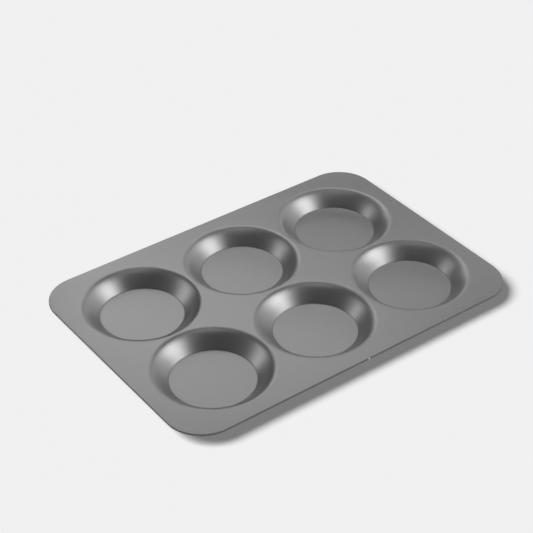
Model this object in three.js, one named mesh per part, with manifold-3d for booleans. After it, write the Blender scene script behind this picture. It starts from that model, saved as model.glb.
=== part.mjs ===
// Yorkshire pudding tray: shallow round cups drawn into one sheet of hard-anodised aluminium.
// Millimetres, +Z up. The origin is under the middle of the tray, level with the cup bases.
import * as THREE from 'three';
import { mergeVertices } from 'three/addons/utils/BufferGeometryUtils.js';
import Module from 'manifold-3d';

// Layout of the cups
const COLUMN_NAMES = ['left', 'middle', 'right'];
const ROW_NAMES = ['front', 'back'];

// Driving dimensions in millimetres, angles in degrees from the flat of the sheet
const SHEET_THICKNESS = 2;
const BASE_DIAMETER = 75; // where the flat base and the wall would meet without their bend
const CUP_DEPTH = 12.7; // deck surface down to base surface
const WALL_ANGLE = 42;
const CREASE_RADIUS = 2.5; // bend between base and wall, on the inside
const DRAW_RADIUS = 12; // bend between wall and deck, on the top side
const RIM_ANGLE = 20; // slope of the draw bend at the rim, the line where a cup ends and the deck begins
const WEB_WIDTH = 4.8; // between the rims of two neighbouring cups
const EDGE_MARGIN = 16.6; // from the rim of an outer cup to the edge of the sheet
const CORNER_RADIUS = 34;
const EDGE_BREAK = 0.4; // deburred corner of the cut edge

// Finish
const ANODISED_GREY = 0x8e8f90;
const SATIN_ROUGHNESS = 0.42;
const METALNESS = 0.9;

// Facets
const RING_STEPS = 48;
const CREASE_STEPS = 3;
const WALL_BEND_STEPS = 2;
const LIP_STEPS = 2;
const CORNER_STEPS = 8;

// Overrun of the solids that are joined to the deck or cut from it
const CUT_OVERRUN = 1;
const LIP_OVERRUN = 5; // degrees of draw bend past the rim
const MERGE_DISTANCE = 1e-4;

// Heights and radii that follow from the driving dimensions
const wallSlope = THREE.MathUtils.degToRad(WALL_ANGLE);
const rimSlope = THREE.MathUtils.degToRad(RIM_ANGLE);
const lipStartSlope = THREE.MathUtils.degToRad(RIM_ANGLE + LIP_OVERRUN);
const deckBottom = CUP_DEPTH;
const deckTop = CUP_DEPTH + SHEET_THICKNESS;
const baseRadius = BASE_DIAMETER / 2;
const drawDrop = DRAW_RADIUS * (1 - Math.cos(wallSlope));
const wallRun = (CUP_DEPTH - drawDrop) / Math.tan(wallSlope);
const mouthRadius = baseRadius + wallRun + DRAW_RADIUS * Math.sin(wallSlope);
const rimRadius = mouthRadius - DRAW_RADIUS * Math.sin(rimSlope);
const cupPitch = 2 * rimRadius + WEB_WIDTH;
const edgeToCentre = rimRadius + EDGE_MARGIN;
const trayLength = (COLUMN_NAMES.length - 1) * cupPitch + 2 * edgeToCentre;
const trayWidth = (ROW_NAMES.length - 1) * cupPitch + 2 * edgeToCentre;

// The two bends of a cup's section, each about one centre for both faces of the sheet
const creaseCentre = new THREE.Vector2(
  baseRadius - CREASE_RADIUS * Math.tan(wallSlope / 2),
  SHEET_THICKNESS + CREASE_RADIUS,
);
const drawCentre = new THREE.Vector2(mouthRadius, deckTop - DRAW_RADIUS);
const undersideCrease = CREASE_RADIUS + SHEET_THICKNESS;
const undersideDraw = DRAW_RADIUS - SHEET_THICKNESS;

// A point of the crease bend lies below and outside its centre, where the sheet has the given slope.
function creasePoint(radius, slope) {
  const x = creaseCentre.x + radius * Math.sin(slope);
  const y = creaseCentre.y - radius * Math.cos(slope);
  return new THREE.Vector2(x, y);
}

// A point of the draw bend lies above and inside its centre.
function drawPoint(radius, slope) {
  const x = drawCentre.x - radius * Math.sin(slope);
  const y = drawCentre.y + radius * Math.cos(slope);
  return new THREE.Vector2(x, y);
}

// Points along a bend from one slope to another, both ends included.
function bend(pointAt, radius, fromSlope, toSlope, steps) {
  return Array.from({ length: steps + 1 }, (_, i) => {
    const slope = THREE.MathUtils.lerp(fromSlope, toSlope, i / steps);
    return pointAt(radius, slope);
  });
}

// One face of a cup's section, from the axis along the base and up the wall to the rim.
function cupFace(baseHeight, creaseRadius, drawRadius) {
  return [
    new THREE.Vector2(0, baseHeight),
    ...bend(creasePoint, creaseRadius, 0, wallSlope, CREASE_STEPS),
    ...bend(drawPoint, drawRadius, wallSlope, rimSlope, WALL_BEND_STEPS),
  ];
}

// A section turned about the cup's upright axis.
function revolve(section) {
  return new THREE.LatheGeometry(section, RING_STEPS).rotateX(Math.PI / 2);
}

// A cup is a revolved shell of the sheet's thickness, cut square to the sheet at its rim.
function cupGeometry() {
  const underside = cupFace(0, undersideCrease, undersideDraw);
  const inside = cupFace(SHEET_THICKNESS, CREASE_RADIUS, DRAW_RADIUS);
  return revolve([...underside, ...inside.reverse()]);
}

// Outline of the sheet: a rectangle with round corners.
function sheetOutline() {
  const x = trayLength / 2;
  const y = trayWidth / 2;
  const r = CORNER_RADIUS;
  const outline = new THREE.Shape();
  outline.moveTo(r - x, -y);
  outline.absarc(x - r, r - y, r, -Math.PI / 2, 0);
  outline.absarc(x - r, y - r, r, 0, Math.PI / 2);
  outline.absarc(r - x, y - r, r, Math.PI / 2, Math.PI);
  outline.absarc(r - x, r - y, r, Math.PI, Math.PI * 1.5);
  return outline;
}

// The flat sheet before drawing, with its edge broken top and bottom.
function sheetGeometry() {
  const sheet = new THREE.ExtrudeGeometry(sheetOutline(), {
    depth: SHEET_THICKNESS - 2 * EDGE_BREAK,
    bevelThickness: EDGE_BREAK,
    bevelSize: EDGE_BREAK,
    bevelOffset: -EDGE_BREAK,
    bevelSegments: 1,
    curveSegments: CORNER_STEPS,
  });
  return sheet.translate(0, 0, deckBottom + EDGE_BREAK);
}

// What the draw bend adds under the sheet round one mouth, filled in to the axis.
function lipGeometry() {
  const lip = bend(drawPoint, undersideDraw, lipStartSlope, 0, LIP_STEPS);
  const midSheet = (deckBottom + deckTop) / 2;
  return revolve([
    new THREE.Vector2(0, lip[0].y),
    ...lip,
    new THREE.Vector2(mouthRadius, midSheet),
    new THREE.Vector2(0, midSheet),
  ]);
}

// What one mouth takes out of the deck: all inside the rim, and all above the draw bend.
function mouthGeometry() {
  const seamFoot = drawPoint(undersideDraw - CUT_OVERRUN, rimSlope);
  const above = deckTop + CUT_OVERRUN;
  return revolve([
    new THREE.Vector2(0, seamFoot.y),
    seamFoot,
    ...bend(drawPoint, DRAW_RADIUS, rimSlope, 0, LIP_STEPS),
    new THREE.Vector2(mouthRadius, above),
    new THREE.Vector2(0, above),
  ]);
}

// Solid modelling: closed geometry in, closed geometry out
const wasm = await Module();
wasm.setup();

function toSolid(geometry) {
  const bare = geometry.clone();
  bare.deleteAttribute('normal');
  bare.deleteAttribute('uv');
  const merged = mergeVertices(bare, MERGE_DISTANCE);
  const vertices = merged.getAttribute('position').array;
  const corners = merged.getIndex().array;
  const faces = [];
  for (let i = 0; i < corners.length; i += 3) {
    const face = corners.slice(i, i + 3);
    if (new Set(face).size === face.length) {
      faces.push(...face);
    }
  }
  const triVerts = new Uint32Array(faces);
  return new wasm.Manifold(new wasm.Mesh({ numProp: 3, vertProperties: vertices, triVerts }));
}

function toGeometry(solid) {
  const mesh = solid.getMesh();
  const geometry = new THREE.BufferGeometry();
  geometry.setAttribute('position', new THREE.BufferAttribute(mesh.vertProperties, 3));
  geometry.setIndex(new THREE.BufferAttribute(mesh.triVerts, 1));
  geometry.computeVertexNormals();
  return geometry;
}

// Centres of the cups, each with its name
function cupPlaces() {
  const firstX = ((1 - COLUMN_NAMES.length) * cupPitch) / 2;
  const firstY = ((1 - ROW_NAMES.length) * cupPitch) / 2;
  return ROW_NAMES.flatMap((row, j) => COLUMN_NAMES.map((column, i) => ({
    name: `cup_${row}_${column}`,
    x: firstX + i * cupPitch,
    y: firstY + j * cupPitch,
  })));
}

// The deck is the sheet with the lips of all mouths under it and all mouths cut out. Where two lips
// meet between neighbours, the lower face wins on both sides, which leaves a rounded web.
function deckGeometry(places) {
  const lip = toSolid(lipGeometry());
  const mouth = toSolid(mouthGeometry());
  let deck = toSolid(sheetGeometry());
  for (const { x, y } of places) {
    deck = deck.add(lip.translate([x, y, 0]));
  }
  for (const { x, y } of places) {
    deck = deck.subtract(mouth.translate([x, y, 0]));
  }
  return toGeometry(deck);
}

// A named piece with its own satin anodised finish
function piece(name, geometry) {
  const material = new THREE.MeshStandardMaterial({
    color: ANODISED_GREY,
    roughness: SATIN_ROUGHNESS,
    metalness: METALNESS,
  });
  const mesh = new THREE.Mesh(geometry, material);
  mesh.name = name;
  return mesh;
}

const tray = new THREE.Group();
tray.name = 'yorkshire_pudding_tray';
const places = cupPlaces();
tray.add(piece('deck', deckGeometry(places)));
const cupShell = cupGeometry();
for (const { name, x, y } of places) {
  const cup = piece(name, cupShell);
  cup.position.set(x, y, 0);
  tray.add(cup);
}

export default tray;
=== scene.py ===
"""Looks of a yorkshire pudding tray: six shallow cups drawn into one sheet of hard-anodised aluminium.

Run as a script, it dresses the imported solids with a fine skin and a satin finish, then sets the studio round
them. Metres, +Z up. The origin is under the middle of the tray, level with the cup bases.
"""

import math

import bpy
import numpy as np
from bpy.props import FloatProperty, FloatVectorProperty, PointerProperty
from mathutils import Euler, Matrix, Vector


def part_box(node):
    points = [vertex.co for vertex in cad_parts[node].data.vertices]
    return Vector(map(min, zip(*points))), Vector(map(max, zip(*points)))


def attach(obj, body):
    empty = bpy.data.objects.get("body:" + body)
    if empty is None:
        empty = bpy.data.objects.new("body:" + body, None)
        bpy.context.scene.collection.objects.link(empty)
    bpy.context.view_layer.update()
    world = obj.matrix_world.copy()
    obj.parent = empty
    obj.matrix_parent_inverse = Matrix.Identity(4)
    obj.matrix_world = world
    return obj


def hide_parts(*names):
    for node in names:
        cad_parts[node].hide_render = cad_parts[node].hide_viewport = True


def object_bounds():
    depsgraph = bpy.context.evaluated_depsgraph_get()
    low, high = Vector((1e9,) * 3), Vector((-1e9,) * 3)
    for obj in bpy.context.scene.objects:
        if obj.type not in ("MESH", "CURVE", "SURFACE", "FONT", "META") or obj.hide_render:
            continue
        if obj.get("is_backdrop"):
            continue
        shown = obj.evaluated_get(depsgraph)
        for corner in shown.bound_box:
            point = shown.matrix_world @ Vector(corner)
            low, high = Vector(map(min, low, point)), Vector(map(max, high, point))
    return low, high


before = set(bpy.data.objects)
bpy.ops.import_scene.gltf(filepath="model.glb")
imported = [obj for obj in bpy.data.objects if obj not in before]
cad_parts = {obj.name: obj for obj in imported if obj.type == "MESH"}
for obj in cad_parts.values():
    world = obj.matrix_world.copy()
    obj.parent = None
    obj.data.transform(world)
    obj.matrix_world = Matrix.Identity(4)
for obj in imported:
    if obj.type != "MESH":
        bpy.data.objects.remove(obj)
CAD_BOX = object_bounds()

bl_info = {
    "name": "Yorkshire Pudding Tray",
    "version": (1, 0, 0),
    "blender": (4, 5, 0),
    "location": "View3D > Sidebar > Tray",
    "description": "Builds a pressed, anodised six-cup tray and the studio it stands in",
    "category": "Add Mesh",
}

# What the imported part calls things
BODY = "root"
DECK = "deck"
CUPS = tuple(sorted(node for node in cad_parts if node.startswith("cup_")))
FINISH = "satin_anodising"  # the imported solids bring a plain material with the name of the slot

# Rows and columns of the skins
SIDE_STEPS = 36  # along half a side of a cup's share of the deck
CORNER_STEPS = 24  # round a corner of the sheet
BASE_ROWS = 18
CREASE_ROWS = 12
WALL_ROWS = 12
DRAW_ROWS = 16
LIP_ROWS = 14  # from a rim over the rest of its draw bend
FLAT_ROWS = 5  # from there to the edge
FILLET_ROWS = 6
SEAM_ROW = 0.003  # share of a bend in the narrow row beside a seam, which keeps the shading even across it
EDGE_ROW = 0.01  # the same beside the cut edge, as a share of the flat
WEB_SHARE = 0.8  # most of the way to the boundary that the rows of a lip may take
MERGE_DISTANCE = 1e-7
SHARP_ANGLE = math.radians(35)

# Grain of the finish, in features per metre
BLAST_GRAIN = 2600
MOTTLE = 70
ROLLING = (9, 420, 9)  # along each axis: the streaks run along the long side

# How the finish varies
MOTTLE_DETAIL = 4.0  # finer and finer layers of the noise
STREAK_DETAIL = 3.0
BLAST_DEPTH = 6e-6
STREAK_RELIEF = 0.5  # height of the streaks from rolling, as a share of that of the grain
TONE_SPREAD = 0.05  # share of the grey that grain, mottling and streaks each add or take away
CUT_PAINTED_SHADE = 0.55  # painted shade that darkens the sheared edge, for the dark floor it reflects
CREASE_PAINTED_SHADE = 0.28  # painted shade: how much darker the crease round each base is drawn
CREASE_SHADE_REACH = 0.001  # how far that painted shade reaches to either side of the crease
METAL_SHARE = 0.9
MOTTLE_ROUGHNESS = 0.04
STREAK_ROUGHNESS = 0.03
CUT_ROUGHNESS = 0.15
# Bare marks that the clamps of the anodising bath left on the front edge: place along it, height, radius
CLAMP_MARKS = ((0.0035, 0.0138, 0.0011), (-0.0069, 0.0127, 0.0007))

FLOOR_REACH = 12.0
KEY_TURN = math.radians(165)  # direction that the key comes from, anticlockwise from +X
KEY_RISE = math.radians(50)
KEY_SPREAD = math.radians(31)

# Cards that the metal reflects in place of the pale surroundings: azimuths from and to, anticlockwise from
# +X, and elevations from and to, all in degrees, then distance in metres and brightness. A flag is a dark
# card.
CARD_STEP = 5
CARDS = {
    "top_card": (0, 360, 75, 90, 1.7, 0.8),
    "ceiling_flag": (0, 360, 45, 75, 1.7, 0.05),
    "camera_side_flag": (150, 290, 22, 69, 1.65, 0.0),
    "left_flag": (80, 150, 0, 69, 1.65, 0.0),
    "back_flag": (14, 80, 0, 45, 1.65, 0.0),
    "left_soft_box": (118, 138, 0, 44, 1.6, 2.12),
    "right_soft_box": (304, 345, 30, 54, 1.6, 4.9),
    "right_card": (345, 376, 0, 51, 1.6, 0.9),
    "back_low_card": (32, 62, 10, 20, 0.9, 1.88),
    "back_right_card": (20, 32, 10, 38, 0.9, 1.1),
    "back_left_card": (56, 72, 20, 38, 0.9, 0.6),
    "back_far_left_card": (72, 84, 20, 38, 0.9, 1.95),
    "back_high_card": (32, 84, 38, 50, 0.9, 2.2),
    "back_top_card": (32, 98, 50, 56, 0.9, 0.55),
}


class TraySizes(bpy.types.PropertyGroup):
    """Sizes of the pressing."""

    thickness: FloatProperty(
        name="Sheet thickness", description="Gauge of the sheet", default=0.002, unit="LENGTH")
    base_diameter: FloatProperty(
        name="Base diameter", description="Where base and wall angle would meet without their bend",
        default=0.075, unit="LENGTH")
    wall_angle: FloatProperty(
        name="Wall angle", description="Slope of the straight line that both bends of a cup touch",
        default=math.radians(42), subtype="ANGLE")
    wall_foot: FloatProperty(
        name="Wall foot", description="Slope of the bowed wall just above the crease",
        default=math.radians(46.5), subtype="ANGLE")
    wall_top: FloatProperty(
        name="Wall top", description="Slope of the bowed wall where it runs into the draw bend",
        default=math.radians(22.5), subtype="ANGLE")
    crease_radius: FloatProperty(
        name="Crease radius", description="Bend between base and wall, on the inside",
        default=0.0012, unit="LENGTH")
    draw_radius: FloatProperty(
        name="Draw radius", description="Bend between wall and deck, on the top side",
        default=0.0085, unit="LENGTH")
    rim_angle: FloatProperty(
        name="Rim angle", description="Slope of the draw bend where a cup ends and the deck begins",
        default=math.radians(20), subtype="ANGLE")
    corner_radius: FloatProperty(
        name="Corner radius", description="Rounding of the sheet's corners", default=0.034, unit="LENGTH")
    edge_fillet: FloatProperty(
        name="Edge fillet", description="Rounding of the cut edge, top and bottom",
        default=0.0003, unit="LENGTH")
    web_blend: FloatProperty(
        name="Web blend", description="Width over which the draw bends of two neighbours run into each other",
        default=0.0024, unit="LENGTH")


class TrayFinish(bpy.types.PropertyGroup):
    """Colours and gloss of the anodised sheet."""

    grey: FloatVectorProperty(
        name="Anodised grey", description="Colour of the anodised surface", default=(0.3, 0.3, 0.3),
        subtype="COLOR", min=0, max=1)
    bare_metal: FloatVectorProperty(
        name="Bare metal", description="Aluminium where the anodising is missing", default=(0.86, 0.86, 0.87),
        subtype="COLOR", min=0, max=1)
    roughness: FloatProperty(
        name="Roughness", description="Spread of the satin gloss", default=0.38,
        subtype="FACTOR", min=0, max=1)


class StudioSettings(bpy.types.PropertyGroup):
    """Floor, light and camera."""

    floor: FloatVectorProperty(
        name="Floor", description="Colour of the floor", default=(0.86, 0.86, 0.86),
        subtype="COLOR", min=0, max=1)
    shade: FloatVectorProperty(
        name="Shade", description="Glow of the floor, which sets the tone of the shadow",
        default=(0.17, 0.17, 0.17), subtype="COLOR", min=0, max=1)
    surroundings: FloatVectorProperty(
        name="Surroundings", description="Pale room behind the floor", default=(0.88, 0.88, 0.88),
        subtype="COLOR", min=0, max=1)
    fill: FloatVectorProperty(
        name="Fill light", description="Light that reaches the floor from all round",
        default=(0.03, 0.03, 0.03), subtype="COLOR", min=0, max=1)
    key_strength: FloatProperty(
        name="Key strength", description="Light that throws the shadow on the floor", default=3.245, min=0)
    lens: FloatProperty(
        name="Lens", description="Focal length", default=101.98, subtype="DISTANCE_CAMERA")
    camera_place: FloatVectorProperty(
        name="Camera place", description="Where the camera stands", default=(-0.64971, -0.85466, 0.82955),
        subtype="TRANSLATION")
    camera_tilt: FloatProperty(
        name="Camera tilt", description="How far the camera looks down", default=math.radians(36.375),
        subtype="ANGLE")
    camera_turn: FloatProperty(
        name="Camera turn", description="Turn of the camera about the upright axis, from looking along +Y",
        default=math.radians(-36.7055), subtype="ANGLE")


class Section:
    """The sheet cut through a cup's axis: flat base, crease, slightly bowed wall, draw bend and flat deck.

    Both bends touch one straight line at the wall angle, which sets how far apart they stand. Each turns
    about one centre for both faces, and the wall runs on from both, so the sheet keeps its thickness. A face
    is named by its depth below the top face: nothing for the top, the thickness for the underside.
    """

    def __init__(self, sizes):
        self.sizes = sizes
        self.deck_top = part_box(DECK)[1].z
        self.deck_bottom = self.deck_top - sizes.thickness
        drop = sizes.draw_radius * (1 - math.cos(sizes.wall_angle))
        run = (self.deck_bottom - drop) / math.tan(sizes.wall_angle)
        base_radius = sizes.base_diameter / 2
        self.mouth = base_radius + run + sizes.draw_radius * math.sin(sizes.wall_angle)
        self.draw_height = self.deck_top - sizes.draw_radius
        self.crease_reach = base_radius - sizes.crease_radius * math.tan(sizes.wall_angle / 2)
        self.crease_height = sizes.thickness + sizes.crease_radius

    def crease(self, slope, depth):
        """Radius and height on the crease.

        The centre of the bend plus its radius, turned out from straight down by the slope.
        """
        bend = self.sizes.crease_radius + depth
        radius = self.crease_reach + bend * np.sin(slope)
        height = self.crease_height - bend * np.cos(slope)
        return np.stack((radius, height), axis=-1)

    def draw(self, slope, depth):
        """Radius and height on the draw bend.

        The centre of the bend plus its radius, turned in from straight up by the slope.
        """
        bend = self.sizes.draw_radius - depth
        radius = self.mouth - bend * np.sin(slope)
        height = self.draw_height + bend * np.cos(slope)
        return np.stack((radius, height), axis=-1)

    def cup_face(self, depth):
        """One face of a cup from its axis along the base, up the wall and round the draw bend to the rim.

        The wall is the parabola that runs on from both bends, weighted between their ends and the knee where
        their tangents meet.
        """
        rim = self.sizes.rim_angle
        foot, top = self.sizes.wall_foot, self.sizes.wall_top
        crease = self.crease(np.linspace(0, foot, CREASE_ROWS), depth)
        slopes = np.append(np.linspace(top, rim, DRAW_ROWS)[:-1], (rim + SEAM_ROW * (top - rim), rim))
        draw = self.draw(slopes, depth)
        axis = np.array((0, self.sizes.thickness - depth))
        base = eased(BASE_ROWS)[:-1, None] * (crease[0] - axis) + axis
        run, rise = draw[0] - crease[-1]
        to_knee = (rise * math.cos(top) - run * math.sin(top)) / math.sin(foot - top)
        knee = crease[-1] + to_knee * np.array((math.cos(foot), math.sin(foot)))
        share = eased(WALL_ROWS)[1:-1, None]
        wall = (1 - share) ** 2 * crease[-1] + 2 * share * (1 - share) * knee + share**2 * draw[0]
        return np.concatenate((base, crease, wall, draw))

    def rim_radius(self, depth):
        """Radius at which a cup ends and the deck begins."""
        return self.draw(self.sizes.rim_angle, depth)[0]

    def deck_height(self, places, centres, depth):
        """Height of the deck at places in plan.

        The distance to the nearest cup centre picks the height on the draw bend. Where the second nearest is
        almost as near, the distance is shortened by a quarter of the blend width times the square of how far
        the two bends overlap, which rounds the web between neighbours.
        """
        away = np.linalg.norm(places[..., None, :] - centres, axis=-1)
        near, next_near = np.moveaxis(np.partition(away, 1, axis=-1)[..., :2], -1, 0)
        blend = self.sizes.web_blend
        overlap = np.clip(1 - (next_near - near) / blend, 0, None)
        inward = np.clip(self.mouth - near + overlap**2 * blend / 4, 0, None)
        bend = self.sizes.draw_radius - depth
        return self.draw_height + np.sqrt(bend**2 - inward**2)


def eased(count):
    """Shares from 0 to 1 that crowd towards both ends: half of one minus the cosine of an even turn."""
    return (1 - np.cos(np.linspace(0, np.pi, count))) / 2


def cup_centre(node):
    """Middle of a cup in plan."""
    low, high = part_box(node)
    return np.array(((low.x + high.x) / 2, (low.y + high.y) / 2))


def cup_centres():
    """Middles of all cups, in the order of their names."""
    return np.array([cup_centre(node) for node in CUPS])


def cup_pitch():
    """Distance between neighbouring cups: the least distance between any two centres."""
    centres = cup_centres()
    apart = np.linalg.norm(centres[:, None] - centres, axis=-1)
    return apart[apart > MERGE_DISTANCE].min()


def quarter_boundary(reach, outer, corner_radius):
    """Boundary of a quarter of a cup's share of the deck, from its first axis to just before its second.

    Along one side, round the corner and back along the other side, in coordinates along the two axes. Gives
    the points, the way out of the sheet at each (none on sides shared with a neighbour), and whether the step
    that follows each point runs along the sheet's own edge.
    """
    both = all(outer)
    radius = corner_radius if both else 0
    share = np.linspace(0, 1, SIDE_STEPS, endpoint=False)
    turn = np.linspace(0, np.pi / 2, CORNER_STEPS + 1)
    round_way = np.stack((np.cos(turn), np.sin(turn)), axis=-1)
    straight = np.array(reach) - radius
    first = np.stack((np.full_like(share, reach[0]), straight[1] * share), axis=-1)
    second = np.stack((straight[0] * (1 - share), np.full_like(share, reach[1])), axis=-1)[1:]
    ways_out = np.array(outer, dtype=float)
    points = np.concatenate((first, straight + radius * round_way, second))
    outward = np.concatenate((
        np.tile((ways_out[0], 0), (len(first), 1)),
        round_way if both else np.tile(ways_out, (len(turn), 1)),
        np.tile((0, ways_out[1]), (len(second), 1)),
    ))
    along_edge = np.repeat((outer[0], both, outer[1]), (len(first), CORNER_STEPS, len(second) + 1))
    return points, outward, along_edge


def share_boundary(centre, corner_radius):
    """Boundary of a cup's share of the deck, anticlockwise.

    It lies half-way to each neighbour, or on the edge of the sheet. Each quarter is turned to its own axes.
    """
    pitch = cup_pitch()
    low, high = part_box(DECK)
    to_edge = np.array((high.x - centre[0], high.y - centre[1], centre[0] - low.x, centre[1] - low.y))
    outer = to_edge < pitch
    reach = np.where(outer, to_edge, pitch / 2)
    parts = []
    for quarter in range(4):
        ends = [quarter, (quarter + 1) % 4]
        points, outward, along_edge = quarter_boundary(reach[ends], outer[ends], corner_radius)
        turn = quarter * np.pi / 2
        axes = np.array(((math.cos(turn), math.sin(turn)), (-math.sin(turn), math.cos(turn))))
        parts.append((points @ axes + centre, outward @ axes, along_edge))
    return tuple(np.concatenate(part) for part in zip(*parts))


class Skin:
    """A skin gathered from grids of points: rows along a profile, columns anticlockwise round an axis."""

    def __init__(self):
        self.points = []
        self.faces = []
        self.count = 0

    def add(self, grid, columns=slice(None)):
        """Adds a grid. Each point joins the next in its row and in its column, in the columns asked for."""
        rows, steps = grid.shape[:2]
        index = self.count + np.arange(rows * steps).reshape(rows, steps)
        ahead = np.roll(index, -1, axis=1)
        quads = np.stack((index[:-1], index[1:], ahead[1:], ahead[:-1]), axis=-1)
        self.faces.append(quads[:, columns].reshape(-1, 4))
        self.points.append(grid.reshape(-1, 3))
        self.count += rows * steps

    def mesh(self, name):
        """Merges equal points, drops corners that meet at a pole and faces that vanish, shades the rest."""
        points = np.concatenate(self.points)
        cells = np.round(points / MERGE_DISTANCE).astype(np.int64)
        _, sample, merged = np.unique(cells, axis=0, return_index=True, return_inverse=True)
        corners = merged.reshape(-1)[np.concatenate(self.faces)]
        distinct = corners != np.roll(corners, -1, axis=1)
        sides = distinct.sum(axis=1)
        real = sides > 2
        used, loops = np.unique(corners[real][distinct[real]], return_inverse=True)
        mesh = bpy.data.meshes.new(name)
        mesh.vertices.add(len(used))
        mesh.vertices.foreach_set("co", points[sample[used]].ravel())
        mesh.loops.add(len(loops))
        mesh.loops.foreach_set("vertex_index", loops.ravel())
        mesh.polygons.add(int(real.sum()))
        mesh.polygons.foreach_set("loop_start", np.cumsum(sides[real]) - sides[real])
        mesh.update(calc_edges=True)
        if mesh.validate():
            raise RuntimeError(f"{name} has faces that don't hold together")
        mesh.shade_smooth()
        mesh.set_sharp_from_angle(angle=SHARP_ANGLE)
        return mesh


def ring_angles(boundary, centre):
    """Angle of each boundary point seen from the cup's centre, shared by deck and cup so their seams agree."""
    return np.arctan2(boundary[:, 1] - centre[1], boundary[:, 0] - centre[0])


def revolve(profile, angles, centre):
    """Points of a profile of radii and heights turned to each angle about an upright axis."""
    radius, height = profile[:, :1], profile[:, 1:]
    return np.stack((
        centre[0] + radius * np.cos(angles),
        centre[1] + radius * np.sin(angles),
        height + 0 * angles,
    ), axis=-1)


def deck_face(section, centre, centres, boundary, depth):
    """One face of the deck round a cup, from its rim straight out to the boundary, dense on the lip."""
    angles = ring_angles(boundary, centre)
    rim = centre + section.rim_radius(depth) * np.stack((np.cos(angles), np.sin(angles)), axis=-1)
    span = boundary - rim
    length = np.linalg.norm(span, axis=1)
    lip_width = section.mouth - section.rim_radius(depth) + section.sizes.web_blend
    lip_end = np.minimum(lip_width / length, WEB_SHARE)
    lip = np.append((0, SEAM_ROW), np.linspace(0, 1, LIP_ROWS)[1:])[:, None] * lip_end
    to_edge = np.append(np.linspace(0, 1, FLAT_ROWS)[1:-1], (1 - EDGE_ROW, 1))[:, None]
    flat = lip_end + to_edge * (1 - lip_end)
    shares = np.concatenate((lip, flat))
    places = rim + shares[..., None] * span
    heights = section.deck_height(places, centres, depth)
    return np.concatenate((places, heights[..., None]), axis=-1)


def edge_band(section, boundary, outward):
    """The cut edge: a quarter round, an upright and another quarter round, carried along the boundary."""
    fillet = section.sizes.edge_fillet
    turn = np.linspace(0, np.pi / 2, FILLET_ROWS)
    inset = fillet * np.concatenate((1 - np.sin(turn), 1 - np.cos(turn)))
    height = np.concatenate((
        section.deck_top - fillet * (1 - np.cos(turn)),
        section.deck_bottom + fillet * (1 - np.sin(turn)),
    ))
    places = boundary - inset[:, None, None] * outward
    return np.concatenate((places, np.broadcast_to(height[:, None, None], places.shape[:2] + (1,))), axis=-1)


def seam(section, angles, centre):
    """The two rim rings of a cup, underside first, between which the sheet is cut square to its faces."""
    rim = section.sizes.rim_angle
    rings = np.array((section.draw(rim, section.sizes.thickness), section.draw(rim, 0)))
    return revolve(rings, angles, centre)


def deck_skin(section):
    """All six shares of the deck: top face, cut edge, underside and the seams to the cups."""
    sizes = section.sizes
    centres = cup_centres()
    skin = Skin()
    for centre in centres:
        boundary, outward, along_edge = share_boundary(centre, sizes.corner_radius)
        inset = boundary - sizes.edge_fillet * outward
        skin.add(deck_face(section, centre, centres, inset, 0))
        skin.add(edge_band(section, boundary, outward), along_edge)
        skin.add(deck_face(section, centre, centres, inset, sizes.thickness)[::-1])
        skin.add(seam(section, ring_angles(inset, centre), centre))
    return skin


def cup_skin(section, node):
    """A cup turned from its section: inside face out to the rim, underside back to the axis."""
    sizes = section.sizes
    centre = cup_centre(node)
    boundary, outward, _ = share_boundary(centre, sizes.corner_radius)
    angles = ring_angles(boundary - sizes.edge_fillet * outward, centre)
    profile = np.concatenate((section.cup_face(0), section.cup_face(sizes.thickness)[::-1]))
    skin = Skin()
    skin.add(revolve(profile, angles, centre))
    return skin


class Value:
    """A number that flows through a shader. Arithmetic on it adds Math nodes."""

    def __init__(self, shader, socket):
        self.shader = shader
        self.socket = socket

    def __add__(self, other):
        return self.shader.math("ADD", self, other)

    def __sub__(self, other):
        return self.shader.math("SUBTRACT", self, other)

    def __rsub__(self, other):
        return self.shader.math("SUBTRACT", other, self)

    def __mul__(self, other):
        return self.shader.math("MULTIPLY", self, other)

    def __truediv__(self, other):
        return self.shader.math("DIVIDE", self, other)

    def __rtruediv__(self, other):
        return self.shader.math("DIVIDE", other, self)

    def __pow__(self, other):
        return self.shader.math("POWER", self, other)

    def __rpow__(self, other):
        return self.shader.math("POWER", other, self)

    def __abs__(self):
        return self.shader.math("ABSOLUTE", self)

    def __round__(self):
        return self.shader.math("ROUND", self)

    def most(self, other):
        return self.shader.math("MAXIMUM", self, other)

    def least(self, other):
        return self.shader.math("MINIMUM", self, other)

    __radd__ = __add__
    __rmul__ = __mul__


class Shader:
    """A node tree under construction."""

    def __init__(self, tree):
        self.tree = tree
        tree.nodes.clear()

    def node(self, kind, settings=None, inputs=None):
        """Adds a node, makes its settings, then gives each input named or numbered a value or a link."""
        node = self.tree.nodes.new("ShaderNode" + kind)
        for name, setting in (settings or {}).items():
            setattr(node, name, setting)
        for name, given in (inputs or {}).items():
            if isinstance(given, Value):
                given = given.socket
            if isinstance(given, bpy.types.NodeSocket):
                self.tree.links.new(given, node.inputs[name])
            else:
                node.inputs[name].default_value = given
        return node

    def value(self, kind, settings=None, inputs=None, output=0):
        """Adds a node and gives one of its outputs as a number."""
        return Value(self, self.node(kind, settings, inputs).outputs[output])

    def math(self, operation, *terms):
        """One step of arithmetic."""
        return self.value("Math", {"operation": operation}, dict(enumerate(terms)))

    def smooth_step(self, value, low, high):
        """0 at low, 1 at high, an S curve between and level beyond. Either end may be the greater."""
        return self.value("MapRange", {"interpolation_type": "SMOOTHSTEP"},
                          {"Value": value, "From Min": low, "From Max": high})

    def noise(self, vector, scale, detail=2.0):
        """Even noise about nought, from -0.5 to 0.5."""
        return self.value("TexNoise", None, {"Vector": vector, "Scale": scale, "Detail": detail}, "Fac") - 0.5

    def mix(self, share, first, second):
        """One colour giving way to another."""
        mixed = self.node("Mix", {"data_type": "RGBA"}, {"Factor": share, "A": first, "B": second})
        return mixed.outputs["Result"]


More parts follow.
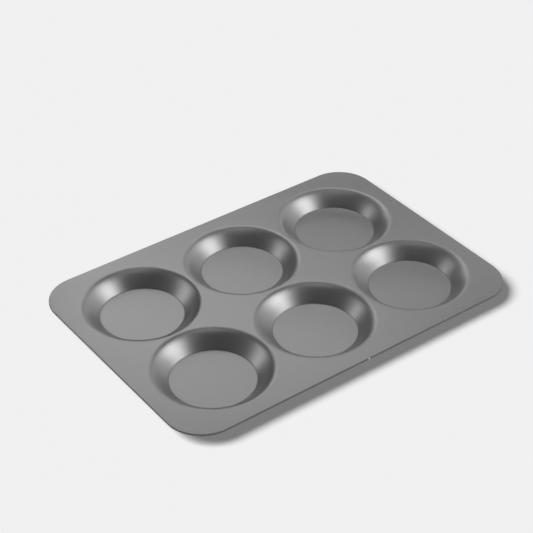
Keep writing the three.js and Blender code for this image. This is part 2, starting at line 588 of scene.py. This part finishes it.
def new_material(name):
    """A material and the shader to build in it."""
    material = bpy.data.materials.new(name)
    material.use_nodes = True
    return material, Shader(material.node_tree)


def edge_distance(x, y, corner, radius):
    """Distance past the outline of the sheet, less than nought inside it.

    That of a rectangle about the origin with round corners, given one corner and the radius.
    """
    side_x = abs(x) - (corner.x - radius)
    side_y = abs(y) - (corner.y - radius)
    beyond = (side_x.most(0) ** 2 + side_y.most(0) ** 2) ** 0.5
    return beyond + side_x.most(side_y).least(0) - radius


def cup_distance(x, y):
    """Distance in plan to the nearest cup centre: columns repeat at the pitch, rows mirror each other."""
    pitch = cup_pitch()
    aside = x - round(x / pitch) * pitch
    along = abs(y) - cup_centres()[:, 1].max()
    return (aside * aside + along * along) ** 0.5


def sheared_edge(shader, x, y, sizes):
    """1 on the cut edge and nought on the faces, with the change on the fillet."""
    past_edge = edge_distance(x, y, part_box(DECK)[1], sizes.corner_radius)
    return shader.smooth_step(past_edge, -sizes.edge_fillet, -sizes.edge_fillet / 3)


def painted_crease_shade(shader, x, y, z, sizes):
    """Where shade is painted: 1 along the crease round each base, inside the cup, and nought away from it."""
    from_crease = abs(cup_distance(x, y) - sizes.base_diameter / 2)
    inside = shader.smooth_step(z, sizes.thickness / 2, sizes.thickness)
    return shader.smooth_step(from_crease, CREASE_SHADE_REACH, 0) * inside


def clamp_marks(shader, place):
    """1 on each bare mark of the front edge and nought away from them."""
    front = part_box(DECK)[0].y
    marks = 0
    for along, height, radius in CLAMP_MARKS:
        spot = (along, front, height)
        away = shader.value("VectorMath", {"operation": "DISTANCE"}, {0: place, 1: spot}, "Value")
        marks = shader.smooth_step(away, radius, radius / 2) + marks
    return marks


def anodised_material(finish, sizes):
    """Satin anodised sheet.

    Blasted grain, faint mottling, streaks from rolling, painted shade on the sheared edge, a line of painted
    shade in each crease and two bare clamp marks.
    """
    material, shader = new_material(FINISH)
    place = shader.node("TexCoord").outputs["Object"]
    x, y, z = (Value(shader, socket) for socket in shader.node("SeparateXYZ", None, {0: place}).outputs)
    rolled = shader.node("Mapping", None, {"Vector": place, "Scale": ROLLING}).outputs[0]
    grain = shader.noise(place, BLAST_GRAIN)
    mottle = shader.noise(place, MOTTLE, MOTTLE_DETAIL)
    streak = shader.noise(rolled, 1.0, STREAK_DETAIL)
    cut = sheared_edge(shader, x, y, sizes)
    crease = painted_crease_shade(shader, x, y, z, sizes)

    uneven = 1 + (mottle + streak + grain) * TONE_SPREAD
    # painted shade: the sheared edge and the crease round each base are drawn darker in the grey
    tone = uneven * (1 - cut * CUT_PAINTED_SHADE) * (1 - crease * CREASE_PAINTED_SHADE)
    grey = shader.node("VectorMath", {"operation": "SCALE"}, {0: finish.grey, "Scale": tone}).outputs[0]
    relief = grain + streak * STREAK_RELIEF
    bump = shader.node("Bump", None, {"Strength": 1.0, "Distance": BLAST_DEPTH, "Height": relief})
    rougher = mottle * MOTTLE_ROUGHNESS + streak * STREAK_ROUGHNESS + cut * CUT_ROUGHNESS
    gloss = shader.node("BsdfPrincipled", None, {
        "Base Color": shader.mix(clamp_marks(shader, place), grey, (*finish.bare_metal, 1)),
        "Metallic": METAL_SHARE,
        "Roughness": finish.roughness + rougher,
        "Normal": bump.outputs[0],
    })
    shader.node("OutputMaterial", None, {"Surface": gloss.outputs[0]})
    return material


def sheet_finish(context):
    """The one finish of all pieces, made when the first piece asks for it."""
    made = bpy.data.materials.get(FINISH)
    return made or anodised_material(context.scene.tray_finish, context.scene.tray_sizes)


def dress(context, node, skin):
    """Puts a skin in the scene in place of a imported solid."""
    name = f"pressed_{node}"
    piece = bpy.data.objects.new(name, skin.mesh(name))
    piece.data.materials.append(sheet_finish(context))
    piece.visible_diffuse = False  # the metal throws no light back on the floor
    context.scene.collection.objects.link(piece)
    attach(piece, BODY)
    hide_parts(node)


class TRAY_OT_deck(bpy.types.Operator):
    """Builds the flat sheet round the cups, with its cut edge and the lips of the mouths."""

    bl_idname = "tray.deck"
    bl_label = "Press Deck"

    def execute(self, context):
        dress(context, DECK, deck_skin(Section(context.scene.tray_sizes)))
        return {"FINISHED"}


class TRAY_OT_cups(bpy.types.Operator):
    """Builds the six cups."""

    bl_idname = "tray.cups"
    bl_label = "Draw Cups"

    def execute(self, context):
        section = Section(context.scene.tray_sizes)
        for node in CUPS:
            dress(context, node, cup_skin(section, node))
        return {"FINISHED"}


def add_floor(context, studio):
    """A broad square of matt paper with a glow of its own."""
    mesh = bpy.data.meshes.new("floor")
    corners = [(x * FLOOR_REACH, y * FLOOR_REACH, 0) for x, y in ((-1, -1), (1, -1), (1, 1), (-1, 1))]
    mesh.from_pydata(corners, [], [(0, 1, 2, 3)])
    floor = bpy.data.objects.new("floor", mesh)
    context.scene.collection.objects.link(floor)
    material, shader = new_material("floor")
    paper = shader.node("BsdfPrincipled", None, {
        "Base Color": (*studio.floor, 1), "Roughness": 1.0, "Specular IOR Level": 0.0,
        "Emission Color": (*studio.shade, 1), "Emission Strength": 1.0,
    })
    shader.node("OutputMaterial", None, {"Surface": paper.outputs[0]})
    mesh.materials.append(material)
    floor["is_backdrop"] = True


def add_world(context, studio):
    """Pale surroundings where the camera or a gloss meets them, and a dimmer fill light for the floor."""
    world = bpy.data.worlds.new("studio")
    context.scene.world = world
    world.use_nodes = True
    shader = Shader(world.node_tree)
    path = shader.node("LightPath").outputs
    seen = Value(shader, path["Is Camera Ray"]) + path["Is Glossy Ray"] + path["Is Transmission Ray"]
    colour = shader.mix(seen, (*studio.fill, 1), (*studio.surroundings, 1))
    glow = shader.node("Background", None, {"Color": colour})
    shader.node("OutputWorld", None, {"Surface": glow.outputs[0]})


def add_key(context, studio):
    """A broad key light that throws the shadow. The gloss of the metal doesn't show it."""
    lamp = bpy.data.lights.new("key", "SUN")
    lamp.energy = studio.key_strength
    lamp.angle = KEY_SPREAD
    key = bpy.data.objects.new("key", lamp)
    context.scene.collection.objects.link(key)
    across = math.cos(KEY_RISE)
    place = Vector((math.cos(KEY_TURN) * across, math.sin(KEY_TURN) * across, math.sin(KEY_RISE)))
    key.location = place
    key.rotation_euler = (-place).to_track_quat("-Z", "Y").to_euler()
    key.visible_glossy = False


def card_steps(start, end):
    """Even angles from start to end, a card step apart or a little more."""
    return np.radians(np.linspace(start, end, (end - start) // CARD_STEP + 1))


def card_mesh(name, turns, rises, distance):
    """Part of a sphere round the tray: the distance times the way towards each azimuth and elevation."""
    across, up = np.cos(rises)[:, None], np.sin(rises)[:, None]
    places = distance * np.stack((np.cos(turns) * across, np.sin(turns) * across, up + 0 * turns), axis=-1)
    skin = Skin()
    skin.add(places, slice(0, -1))
    return skin.mesh(name)


def card_material(name, brightness):
    """An even glow, which isn't sampled as a lamp."""
    material, shader = new_material(name)
    material.cycles.emission_sampling = "NONE"
    glow = shader.node("Emission", None, {"Strength": brightness})
    shader.node("OutputMaterial", None, {"Surface": glow.outputs[0]})
    return material


def add_cards(context):
    """Curved cards round the tray, seen in the gloss of the metal alone."""
    for name, (from_turn, to_turn, from_rise, to_rise, distance, brightness) in CARDS.items():
        mesh = card_mesh(name, card_steps(from_turn, to_turn), card_steps(from_rise, to_rise), distance)
        mesh.materials.append(card_material(name, brightness))
        card = bpy.data.objects.new(name, mesh)
        context.scene.collection.objects.link(card)
        card.visible_camera = False
        card.visible_diffuse = False
        card.visible_shadow = False
        card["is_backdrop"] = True


def add_camera(context, studio):
    """The camera at its place, tilted down and turned about the upright axis."""
    lens = bpy.data.cameras.new("camera")
    lens.lens = studio.lens
    camera = bpy.data.objects.new("camera", lens)
    camera.location = studio.camera_place
    camera.rotation_euler = Euler((math.pi / 2 - studio.camera_tilt, 0, studio.camera_turn))
    context.scene.collection.objects.link(camera)
    context.scene.camera = camera


class TRAY_OT_stage(bpy.types.Operator):
    """Sets up the floor, the light and the camera."""

    bl_idname = "tray.stage"
    bl_label = "Set Stage"

    def execute(self, context):
        studio = context.scene.tray_studio
        add_floor(context, studio)
        add_world(context, studio)
        add_key(context, studio)
        add_cards(context)
        add_camera(context, studio)
        context.scene.view_settings.view_transform = "Standard"
        return {"FINISHED"}


class TRAY_PT_panel(bpy.types.Panel):
    """Lists the sizes, the finish, the studio and the operators."""

    bl_label = "Yorkshire Pudding Tray"
    bl_space_type = "VIEW_3D"
    bl_region_type = "UI"
    bl_category = "Tray"

    def draw(self, context):
        for settings in (context.scene.tray_sizes, context.scene.tray_finish, context.scene.tray_studio):
            column = self.layout.column(align=True)
            for name in settings.__annotations__:
                column.prop(settings, name)
        for operator in OPERATORS:
            self.layout.operator(operator.bl_idname)


OPERATORS = (TRAY_OT_deck, TRAY_OT_cups, TRAY_OT_stage)
CLASSES = (TraySizes, TrayFinish, StudioSettings, *OPERATORS, TRAY_PT_panel)


def register():
    for cls in CLASSES:
        bpy.utils.register_class(cls)
    bpy.types.Scene.tray_sizes = PointerProperty(type=TraySizes)
    bpy.types.Scene.tray_finish = PointerProperty(type=TrayFinish)
    bpy.types.Scene.tray_studio = PointerProperty(type=StudioSettings)


def unregister():
    del bpy.types.Scene.tray_studio
    del bpy.types.Scene.tray_finish
    del bpy.types.Scene.tray_sizes
    for cls in reversed(CLASSES):
        bpy.utils.unregister_class(cls)


def main():
    register()
    bpy.ops.tray.deck()
    bpy.ops.tray.cups()
    bpy.ops.tray.stage()
    boxes = {"cad": CAD_BOX, "visual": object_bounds()}
    {name: [list(corner) for corner in box] for name, box in boxes.items()}


if __name__ == "__main__":
    main()
